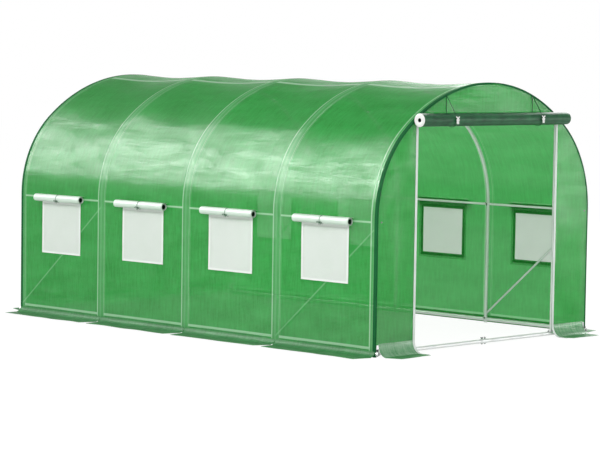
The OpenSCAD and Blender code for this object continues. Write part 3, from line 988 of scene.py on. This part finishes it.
def wall_sheet(name, side, middle, half_w, z0, z1, lift, thickness, hole=None):
    """A sheet that follows a side wall's hang, lifted off it. hole is the half width and heights cut out."""
    stops_z = [hole[1], hole[2]] if hole else []
    stops_y = [middle - hole[0], middle + hole[0]] if hole else []
    heights = span(z0, z1, 0.04, *stops_z)
    ys = span(middle - half_w, middle + half_w, 0.04, *stops_y)
    if side > 0:
        heights = heights[::-1]
    wall = Vector((side * (leg_x + cover_off), 0, 0))
    turned = math.pi if side < 0 else 0.0
    out = Vector((side, 0, 0))
    rows = [[on_cover(wall + Vector((0, 0, z)), out, turned, y, lift) for y in ys] for z in heights]
    flat = [[(y, z) for y in ys] for z in heights]

    def in_hole(i, j):
        z, y = (heights[i] + heights[i + 1]) / 2, (ys[j] + ys[j + 1]) / 2
        return bool(hole) and hole[1] < z < hole[2] and abs(y - middle) < hole[0]

    return lay_sheet(name, rows, flat, thickness, cut=in_hole)


def join_into(name, pieces):
    """Several objects joined in one."""
    bpy.ops.object.select_all(action="DESELECT")
    for piece in pieces:
        piece.select_set(True)
    bpy.context.view_layer.objects.active = pieces[0]
    if len(pieces) > 1:
        bpy.ops.object.join()
    pieces[0].name = name
    pieces[0].select_set(False)
    return pieces[0]


half_w = window_w / 2 + screen_lap
for side, label in sides:
    for number, middle in enumerate(bays_y, 1):
        screen = wall_sheet(
            f"{label}_screen_{number}", side, middle, half_w, screen_low.z, screen_high.z, 0.0016, 0.0010
        )
        screen.data.materials.append(insect_mesh)
        edge = wall_sheet(
            f"{label}_edge_{number}", side, middle, half_w, screen_low.z, screen_high.z, 0.0030, 0.0012,
            hole=(half_w - screen_tape_w, screen_low.z + screen_tape_w, screen_high.z - screen_tape_w),
        )
        edge.data.materials.append(screen_tape)
        join_into(screen.name, [screen, edge])
        settle(screen, insect_mesh, "white_mesh", f"{label}_window_screens")
        cut = (2 * half_w, screen_high.z - screen_low.z)
        facing = wall_sheet(
            f"{label}_facing_{number}", side, middle, window_w / 2 + facing_w, window_z0 - facing_w,
            window_z1 + facing_w, -film_t - 0.0008, 0.0010, hole=(window_w / 2, window_z0, window_z1),
        )
        settle(facing, facing_film, "dark_green_film")

# ---- Window rolls ----
# Each window has an outer flap of pale film, rolled up over the screen round a thin tube and held
# by a cord tie at its middle. The tube is painted near black, as painted shade in the roll's hollow.

roll_low, roll_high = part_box("left_window_rolls")
roll_l = roll_high.y - roll_low.y - (bays - 1) * bay_l
roll_r = (roll_high.z - roll_low.z) / 2
roll_x = -roll_low.x - roll_r
roll_z = roll_low.z + roll_r
roll_turns = 2.6
roll_inner_r = 0.0215
wind_t = 0.0012

pale_film = cloth_material(
    "pale_film", (0.62, 0.78, 0.65, 1), (0.82, 0.92, 0.84, 1), 0.28, 120.0, backlit=0.15
)
# The roll tubes' near-black colour is painted shade for the hollow inside each roll.
core_tube_painted_shade = cloth_material("core_tube_painted_shade", (0.002, 0.016, 0.006, 1), (0.004, 0.030, 0.010, 1), 0.5, 300.0)


def wound(turns, outer_r, inner_r, step):
    """A winding's profile: turn from its top, and radius, from the outer end inwards."""
    angles = span(0, turns * math.tau, step)
    return [(a, outer_r - (outer_r - inner_r) * a / angles[-1]) for a in angles]


def tube_ring(name, start, length, outer_r, inner_r, material, axis):
    """A hollow tube or ring with rounded rims, from its start along X or Y."""
    turned = (0, math.pi / 2, 0) if axis == "X" else (math.pi / 2, 0, 0)
    run = Vector((length, 0, 0)) if axis == "X" else Vector((0, length, 0))
    bpy.ops.mesh.primitive_cylinder_add(
        vertices=40, radius=outer_r, depth=length, end_fill_type="NOTHING",
        location=Vector(start) + run / 2, rotation=turned,
    )
    made = bpy.context.object
    made.name = name
    bpy.ops.object.transform_apply(location=True, rotation=True, scale=True)
    wall = made.modifiers.new("wall", "SOLIDIFY")
    wall.thickness = outer_r - inner_r
    wall.offset = -1
    bpy.ops.object.modifier_apply(modifier="wall")
    rims = made.modifiers.new("rims", "BEVEL")
    rims.width = min(0.0015, (outer_r - inner_r) * 0.3)
    rims.segments = 2
    rims.angle_limit = math.radians(50)
    bpy.ops.object.modifier_apply(modifier="rims")
    bpy.ops.object.shade_smooth_by_angle(angle=math.radians(35))
    made.data.materials.append(material)
    made.select_set(False)
    return made


for side, label in sides:
    for number, middle in enumerate(bays_y, 1):
        wall_at = leg_x + cover_off - sag(0, middle) + 0.0012
        leaf = [(wall_at + 0.0006, roll_z + roll_r - 0.0030), (wall_at + 0.012, roll_z + roll_r - 0.0018)]
        winding = wound(roll_turns, roll_r - 0.0006, roll_inner_r, math.radians(15))
        path = leaf + [(roll_x + r * math.sin(a), roll_z + r * math.cos(a)) for a, r in winding]
        ys = span(middle - roll_l / 2 + 0.001, middle + roll_l / 2 - 0.001, 0.024, middle)
        rows, flat = [], []
        for (x, z), along in zip(path, path_lengths(path)):
            row = []
            for y in ys:
                pinch = 1 - 0.055 * math.exp(-((y - middle) / 0.018) ** 2) - 0.012 * abs(
                    noise.noise(Vector((y * 9.0, number * 3.0, side)))
                )
                away = Vector((x - roll_x, 0, z - roll_z)) * (pinch if along > 0.03 else 1.0)
                row.append(Vector((side * (roll_x + away.x), y, roll_z + away.z)))
            rows.append(row if side > 0 else row[::-1])
            flat.append([(y, along) for y in ys])
        roll = lay_sheet(f"{label}_roll_{number}", rows, flat, wind_t)
        settle(roll, pale_film, "white_flap", f"{label}_window_rolls")
        core = tube_ring(
            f"{label}_roll_tube_{number}", (side * roll_x, middle - roll_l / 2 + 0.006, roll_z),
            roll_l - 0.012, roll_inner_r - 0.0035, roll_inner_r - 0.0055, core_tube_painted_shade, "Y",
        )
        settle(core, core_tube_painted_shade, "dark_green_film")
        cut = (roll_l, path_lengths(path)[-1])

# ---- Ties ----
# Twisted dark green cord. Each window tie ends in a small bow under its roll, and each door tie passes
# behind a white plastic buckle on the front of the door roll.

tie_cord = cloth_material("tie_cord", (0.003, 0.045, 0.014, 1), (0.012, 0.12, 0.040, 1), 0.6, 1500.0)
for name in ("left_window_ties", "right_window_ties", "door_roll_ties"):
    finish_node(name, tie_cord)

bow_cord_r = 0.0015
bow_size = 1.3


def bent_cord(name, points, radius):
    """A round cord along a smooth curve through points, made a mesh."""
    bpy.ops.curve.primitive_nurbs_path_add()
    made = bpy.context.object
    made.name = name
    curve = made.data
    curve.splines.clear()
    line = curve.splines.new("NURBS")
    line.points.add(len(points) - 1)
    for spot, place in zip(line.points, points):
        spot.co = (*place, 1)
    line.order_u = 4
    line.use_endpoint_u = True
    line.resolution_u = 5
    curve.bevel_depth = radius
    curve.bevel_resolution = 2
    curve.use_fill_caps = True
    bpy.ops.object.convert(target="MESH")
    bpy.ops.object.shade_smooth_by_angle(angle=math.radians(60))
    made.select_set(False)
    return made


def copies_of(source, places):
    """A copy of a mesh with its place in its own mesh, for each placing matrix."""
    made = []
    for place in places:
        mesh = source.data.copy()
        mesh.transform(place)
        if place.determinant() < 0:
            mesh.flip_normals()
        twin = bpy.data.objects.new(source.name + "_copy", mesh)
        scene.collection.objects.link(twin)
        made.append(twin)
    return made


bow_parts = [
    bent_cord("bow_left", [(0, 0, 0), (0.002, -0.010, 0.004), (0.003, -0.021, 0.001), (0.003, -0.020, -0.006),
                           (0.001, -0.008, -0.003), (0, 0, 0)], bow_cord_r),
    bent_cord("bow_right", [(0, 0, 0), (0.002, 0.010, 0.005), (0.003, 0.020, 0.004), (0.003, 0.021, -0.003),
                            (0.001, 0.009, -0.003), (0, 0, 0)], bow_cord_r),
    bent_cord("bow_end_left", [(0, 0, 0), (0.001, -0.004, -0.006), (0.001, -0.007, -0.015)], bow_cord_r),
    bent_cord("bow_end_right", [(0, 0, 0), (0.001, 0.005, -0.006), (0.001, 0.006, -0.013)], bow_cord_r),
]
bpy.ops.mesh.primitive_uv_sphere_add(segments=14, ring_count=8, radius=0.0042)
knot = bpy.context.object
knot.data.transform(Matrix.Diagonal((0.8, 1.15, 0.95, 1)))
bpy.ops.object.shade_smooth_by_angle(angle=math.radians(60))
bow = join_into("bow", [knot, *bow_parts])
knot_turn = math.radians(34)
knot_out = roll_r + 0.0026
for side, label in sides:
    spots = []
    for middle in bays_y:
        place = Vector((
            side * (roll_x + knot_out * math.cos(knot_turn)), middle, roll_z - knot_out * math.sin(knot_turn)
        ))
        spots.append(Matrix.Translation(place) @ Matrix.Diagonal((side * bow_size, bow_size, bow_size, 1)))
    bows = join_into(f"{label}_bows", copies_of(bow, spots))
    settle(bows, tie_cord, "dark_green_cord")
bpy.data.objects.remove(bow)

# ---- Door roll ----
# The door is one panel of the green film, rolled up from its foot round a tube, with a white plastic
# disc on the tube's left end, and hung by two cord ties under the half-moon.

door_low, door_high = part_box("door_roll")
door_r = (door_high.z - door_low.z) / 2
door_y = (door_low.y + door_high.y) / 2
door_z = (door_low.z + door_high.z) / 2
door_turns = 9
door_inner_r = 0.0175
disc_t = 0.006
clip_low, clip_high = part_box("door_roll_clips")
clip_half_w = 0.021
tie_x = clip_high.x - clip_half_w

door_film = film_material(
    "door_film", (0.002, 0.034, 0.011, 1), (0.010, 0.110, 0.034, 1), 1.0, 0.0, 0.30, shine=0.12
)
white_plastic, tree, out = new_material("white_plastic")
shader = add_node(tree, "BsdfPrincipled")
moulded = add_mottling(tree, 30.0, 500.0)
white_shade = blend_colours(tree, moulded.outputs["Patches"], (0.66, 0.66, 0.64, 1), (0.82, 0.82, 0.80, 1))
tree.links.new(white_shade, shader.inputs["Base Color"])
moulded_roughness = maths(tree, "MULTIPLY_ADD", moulded.outputs["Patches"], 0.15, 0.30)
tree.links.new(moulded_roughness, shader.inputs["Roughness"])
tree.links.new(bump(tree, moulded.outputs["Grain"], 0.0001), shader.inputs["Normal"])
tree.links.new(shader.outputs[0], out.inputs["Surface"])

leaf_z = door_z + door_r - 0.0012
door_path = [(panel_y + 0.0014, leaf_z - 0.0004), (panel_y + 0.016, leaf_z)]
for angle, r in wound(door_turns, door_r - 0.0006, door_inner_r, math.radians(10)):
    door_path.append((-door_y + r * math.sin(angle), door_z + r * math.cos(angle)))
xs = span(door_low.x + disc_t, door_high.x - 0.004, 0.045)
rows, flat = [], []
for number, ((out_y, z), along) in enumerate(zip(door_path, path_lengths(door_path))):
    row = []
    for x in xs:
        wrinkle = 0.990 + 0.010 * noise.noise(Vector((x * 5.0, number * 0.05, 4.0)))
        wrinkle -= 0.030 * math.exp(-(((abs(x) - tie_x) / 0.020) ** 2))
        worn = 1 - 0.045 * math.exp(-((door_high.x - x) / 0.020) ** 2)
        squeeze = wrinkle * worn if number > 2 else 1.0
        y = -door_y + (out_y + door_y) * squeeze
        row.append(Vector((x, -y, door_z + (z - door_z) * squeeze)))
    rows.append(row)
    flat.append([(along, x) for x in xs])
door_sheet = lay_sheet("door_film_roll", rows, flat, film_t, flipped=True)
settle(door_sheet, door_film, "dark_green_film", "door_roll")
disc = tube_ring(
    "door_roll_disc", (door_low.x, door_y, door_z), disc_t, door_r - 0.0004, 0.0155, white_plastic, "X"
)
settle(disc, white_plastic, "white_plastic")
# Painted shade: the door roll's tube is near black, so the disc's hole looks dark.
door_tube = tube_ring(
    "door_roll_tube", (door_low.x + disc_t + 0.002, door_y, door_z),
    door_high.x - door_low.x - 0.022, 0.0160, 0.0135, core_tube_painted_shade, "X",
)
settle(door_tube, core_tube_painted_shade, "dark_green_film")
path_lengths(door_path)[-1]

# ---- Buckles ----
# White moulded buckles on the door ties: a small slotted body under two crossed arms.

clip_y = (clip_low.y + clip_high.y) / 2
clip_mid_z = (clip_low.z + clip_high.z) / 2


def rounded_bar(name, size, place, turn):
    """A flat bar with rounded edges, turned about Y."""
    bpy.ops.mesh.primitive_cube_add(size=1, location=place, rotation=(0, turn, 0), scale=size)
    made = bpy.context.object
    made.name = name
    bpy.ops.object.transform_apply(location=True, rotation=True, scale=True)
    edges = made.modifiers.new("edges", "BEVEL")
    edges.width = min(size) * 0.3
    edges.segments = 3
    bpy.ops.object.modifier_apply(modifier="edges")
    bpy.ops.object.shade_smooth_by_angle(angle=math.radians(35))
    made.select_set(False)
    return made


arm_turn = math.radians(38)
body = rounded_bar("buckle_body", (0.022, 0.007, 0.030), (0, 0, -0.014), 0)
body.select_set(True)
bpy.context.view_layer.objects.active = body
bpy.ops.object.mode_set(mode="EDIT")
bpy.ops.mesh.select_all(action="DESELECT")
bpy.ops.object.mode_set(mode="OBJECT")
widest = max(body.data.polygons, key=lambda face: face.area if face.normal.y < -0.9 else 0)
widest.select = True
bpy.ops.object.mode_set(mode="EDIT")
bpy.ops.mesh.select_mode(type="FACE")
bpy.ops.mesh.inset(thickness=0.0045)
bpy.ops.mesh.extrude_region_move(TRANSFORM_OT_translate={"value": (0, 0.004, 0)})
bpy.ops.object.mode_set(mode="OBJECT")
body.select_set(False)
buckle = join_into("buckle", [
    body,
    rounded_bar("buckle_arm_a", (0.044, 0.005, 0.0085), (0, 0.0010, 0.012), arm_turn),
    rounded_bar("buckle_arm_b", (0.044, 0.005, 0.0085), (0, -0.0010, 0.012), -arm_turn),
])
for side, label in sides:
    spot = Matrix.Translation((side * tie_x, clip_y, clip_mid_z))
    twin = join_into(f"{label}_buckle", copies_of(buckle, [spot]))
    settle(twin, white_plastic, "white_plastic", "door_roll_clips")
bpy.data.objects.remove(buckle)

# ---- Bolts ----
# Dull zinc bolts with wing nuts hold the tubes together: at the base couplers, the corner sockets, the
# posts' feet, the rails' ends and the ridge couplers. One bolt head shows in front of each front leg.

shank_r = 0.003
bolt_off = 0.018  # from the middle of a sleeve
socket_bolt_off = 0.011  # in front of the end panel's line
corner_bolt_off = 0.020
post_bolts_off = (0.028, -0.020)
leg_bolt_off = 0.030
set_in = 0.0004
zinc, tree, out = new_material("dull_zinc")
shader = add_node(tree, "BsdfPrincipled", Metallic=0.9)
plated = add_mottling(tree, 60.0, 700.0)
zinc_shade = blend_colours(tree, plated.outputs["Patches"], (0.10, 0.11, 0.11, 1), (0.30, 0.31, 0.31, 1))
tree.links.new(zinc_shade, shader.inputs["Base Color"])
tree.links.new(maths(tree, "MULTIPLY_ADD", plated.outputs["Patches"], 0.2, 0.35), shader.inputs["Roughness"])
tree.links.new(bump(tree, plated.outputs["Grain"], 0.0001), shader.inputs["Normal"])
tree.links.new(shader.outputs[0], out.inputs["Surface"])


def turned_part(name, sides, radius, depth, z):
    """A short prism or cylinder about Z, with its top edge eased."""
    bpy.ops.mesh.primitive_cylinder_add(vertices=sides, radius=radius, depth=depth, location=(0, 0, z))
    made = bpy.context.object
    made.name = name
    bpy.ops.object.transform_apply(location=True)
    edges = made.modifiers.new("edges", "BEVEL")
    edges.width = depth * 0.18
    edges.segments = 1
    bpy.ops.object.modifier_apply(modifier="edges")
    bpy.ops.object.shade_smooth_by_angle(angle=math.radians(32))
    made.select_set(False)
    return made


def wing(side):
    """One wing of a wing nut, standing out from its hub."""
    return rounded_bar("wing", (0.013, 0.0022, 0.009), (side * 0.0085, 0, 0.0085), side * math.radians(-28))


bolt_head = join_into("bolt_head", [
    turned_part("washer", 14, 0.0068, 0.0012, 0.0006),
    turned_part("head", 6, 0.0055, 0.0038, 0.0031),
])
wing_nut = join_into("wing_nut", [
    turned_part("washer", 14, 0.0068, 0.0012, 0.0006),
    turned_part("hub", 14, 0.0050, 0.0060, 0.0042),
    turned_part("shank_end", 10, shank_r, 0.0060, 0.0095),
    wing(-1), wing(1),
])


def facing(place, direction, spin=0.0):
    """Placing matrix that stands a part on a place, its +Z along a direction."""
    turned = Vector(direction).to_track_quat("Z", "Y").to_matrix().to_4x4()
    return Matrix.Translation(place) @ turned @ Matrix.Rotation(spin, 4, "Z")


heads, nuts = [], []
rail_top = base_rail_z + tube_r
coupler_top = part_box("base_couplers")[1].z
for end in (-1, 1):
    for x in (-bolt_off, bolt_off):
        heads.append(facing((x, -end * front_hoop_y, 2 * base_rail_z - coupler_top), (0, 0, -1)))
        nuts.append(facing((x, -end * front_hoop_y, coupler_top), (0, 0, 1), 0.4 + x * 30))
for off in post_bolts_off:
    for side in (-1, 1):
        nuts.append(facing((side * (door_edge_x + off), front_hoop_y, rail_top), (0, 0, 1), 0.7))
for side in (-1, 1):
    for end in (-1, 1):
        corner_x = side * (leg_x - tube_r - corner_bolt_off)
        socket_y = end * (cover_end_y + socket_bolt_off)
        nuts.append(facing((corner_x, end * -front_hoop_y, rail_top), (0, 0, 1), 0.3))
        nuts.append(facing((side * leg_x, socket_y, rail_top - set_in), (0, 0, 1), 1.2))
        heads.append(facing((side * leg_x, socket_y, base_rail_z - tube_r + set_in), (0, 0, -1)))
    heads.append(facing((side * (leg_x - leg_bolt_off), -panel_y - set_in, side_rail_z), (0, -1, 0)))
    for y in hoops_y:
        nuts.append(facing((side * (leg_x - tube_r), y, side_rail_z), (-side, 0, 0), y))
        if y in hoops_y[1:-1]:
            nuts.append(facing((side * (leg_x - tube_r), y, base_rail_z + 0.010), (-side, 0, 0), y + 1))
ridge_foot_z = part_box("ridge_couplers")[0].z
for y in hoops_y:
    shift = bolt_off if y <= 0 else -bolt_off
    nuts.append(facing((0, y + shift, ridge_foot_z), (0, 0, -1), 0.2 + y))
for name, model, places in (("bolt_heads", bolt_head, heads), ("wing_nuts", wing_nut, nuts)):
    settle(join_into(name, copies_of(model, places)), zinc, "coated_steel")
    bpy.data.objects.remove(model)
